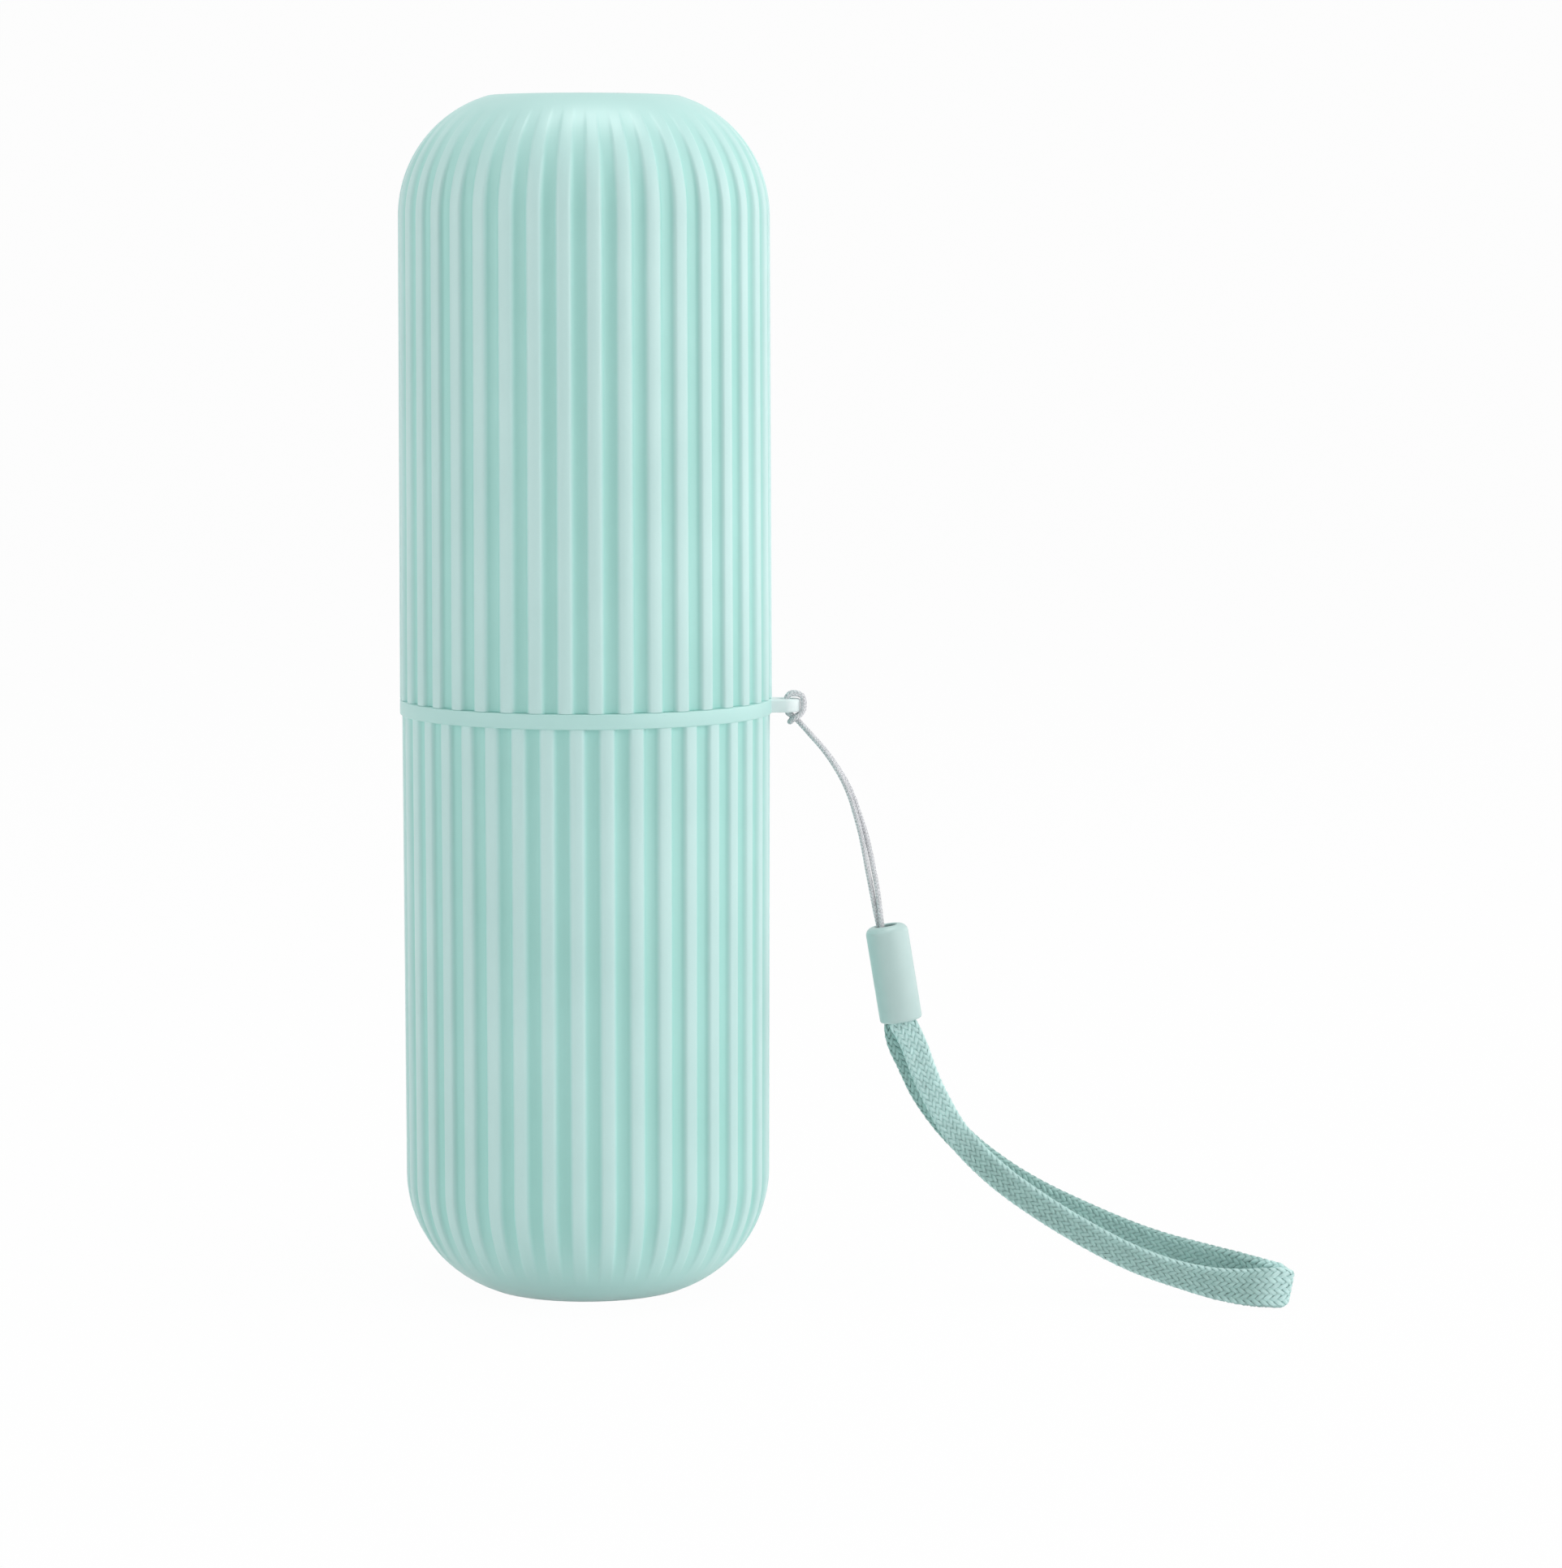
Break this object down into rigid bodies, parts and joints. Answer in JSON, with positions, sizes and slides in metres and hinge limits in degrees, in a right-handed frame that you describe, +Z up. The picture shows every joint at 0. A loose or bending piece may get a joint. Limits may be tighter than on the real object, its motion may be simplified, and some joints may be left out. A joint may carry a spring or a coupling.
{
  "type": "toothbrush case",
  "caption": "Upright ribbed travel toothbrush case: a lid that lifts off a base cup, with an eye at the seam carrying a string, ferrule and braided wrist strap.",
  "frame": {"origin": "centre of the base cup's flat underside, on the axis of the case", "axes": "+Z up along the case towards the lid's top, +X from the axis towards the lanyard eye on the band, +Y behind the case as the picture shows it"},
  "size_m": [0.1482, 0.0622, 0.199],
  "materials": {
    "case": "satin moulded plastic, pale mint",
    "string": "thin braided string, pale grey",
    "ferrule": "satin moulded plastic, pale mint",
    "strap": "flat braided lace, muted sea green"
  },
  "bodies": {
    "base": {"base_cup": "case"},
    "lid": {"lid": "case"},
    "lanyard": {"string_loop": "string", "ferrule": "ferrule", "strap_loop": "strap"}
  },
  "joints": [
    {"name": "lid_lift", "type": "slide", "parent": "base", "child": "lid", "axis": [0, 0, 1], "range_m": [0, 0.12]},
    {"name": "lanyard_swivel", "type": "hinge", "parent": "base", "child": "lanyard", "pos_m": [0.0333, 0, 0.09795], "axis": [0, 0, 1], "range_deg": [-70, 90]}
  ]
}
